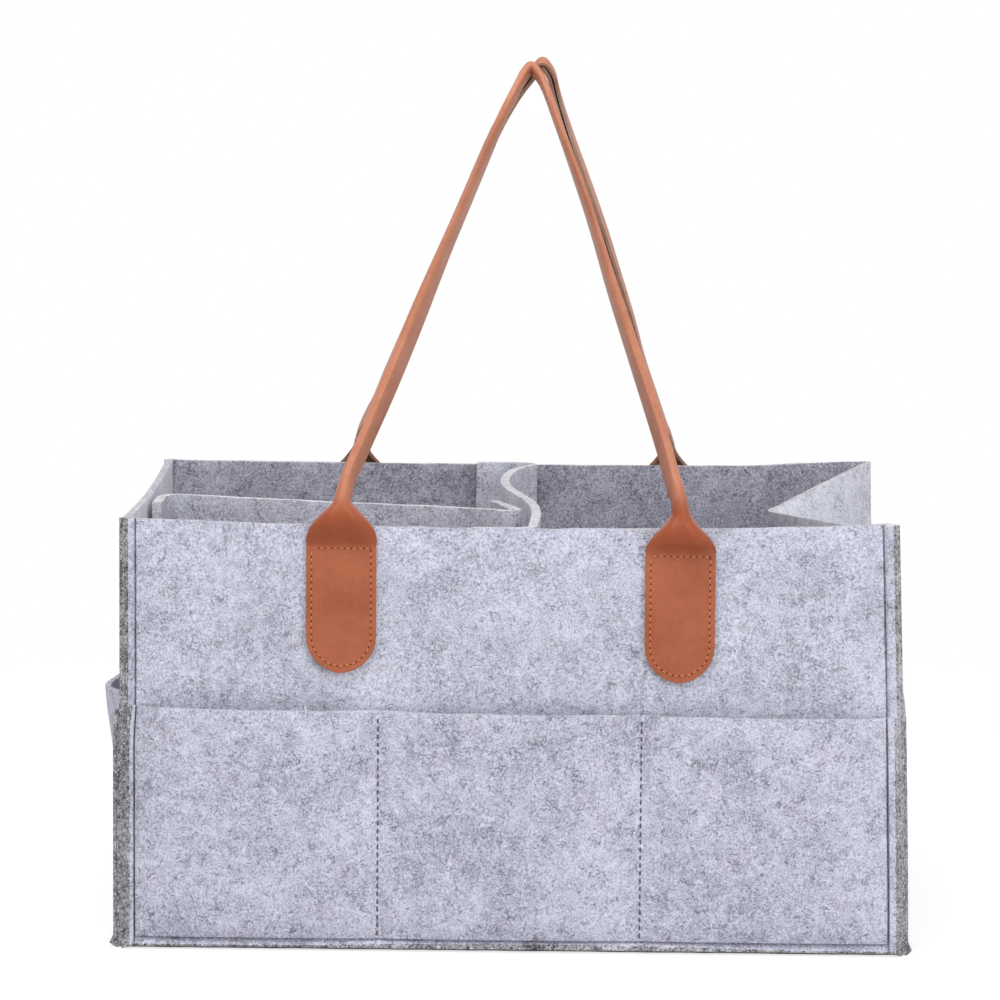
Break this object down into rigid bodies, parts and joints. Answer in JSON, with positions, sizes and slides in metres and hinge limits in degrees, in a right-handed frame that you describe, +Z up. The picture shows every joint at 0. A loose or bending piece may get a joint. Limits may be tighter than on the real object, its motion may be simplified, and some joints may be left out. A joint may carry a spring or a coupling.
{
  "type": "diaper caddy",
  "caption": "Open felt storage caddy with raw-edge seams, outside pockets, movable felt dividers and two folded leather carry handles.",
  "frame": {"origin": "under the middle of the caddy, in the plane of the lower edges that it rests on", "axes": "+X from left to right seen from the front, +Y from front to back, +Z up"},
  "size_m": [0.3414, 0.2432, 0.3614],
  "materials": {
    "grey_felt": "matte",
    "divider_felt": "matte",
    "tab_leather": "satin",
    "strap_leather": "satin",
    "hook_strip": "matte"
  },
  "bodies": {
    "caddy": {"front_panel": "grey_felt", "back_panel": "grey_felt", "left_side_panel": "grey_felt", "right_side_panel": "grey_felt", "bottom_panel": "grey_felt", "front_pocket_panel": "grey_felt", "back_pocket_panel": "grey_felt", "left_pocket_panel": "grey_felt", "right_pocket_panel": "grey_felt", "front_handle_left_tab": "tab_leather", "front_handle_right_tab": "tab_leather", "back_handle_left_tab": "tab_leather", "back_handle_right_tab": "tab_leather"},
    "front_handle": {"front_handle_strap": "strap_leather"},
    "back_handle": {"back_handle_strap": "strap_leather"},
    "centre_divider": {"centre_divider": "divider_felt", "centre_divider_front_hook_strip": "hook_strip", "centre_divider_back_hook_strip": "hook_strip"},
    "long_divider": {"long_divider": "divider_felt", "long_divider_left_hook_strip": "hook_strip", "long_divider_right_hook_strip": "hook_strip"}
  },
  "joints": [
    {"name": "front_handle_fold", "type": "hinge", "parent": "caddy", "child": "front_handle", "pos_m": [0, -0.113, 0.1885], "axis": [1, 0, 0], "range_deg": [0, 160]},
    {"name": "back_handle_fold", "type": "hinge", "parent": "caddy", "child": "back_handle", "pos_m": [0, 0.113, 0.1885], "axis": [-1, 0, 0], "range_deg": [0, 160]},
    {"name": "centre_divider_lift", "type": "slide", "parent": "caddy", "child": "centre_divider", "axis": [0, 0, 1], "range_m": [0, 0.145]},
    {"name": "long_divider_lift", "type": "slide", "parent": "caddy", "child": "long_divider", "axis": [0, 0, 1], "range_m": [0, 0.096]}
  ]
}
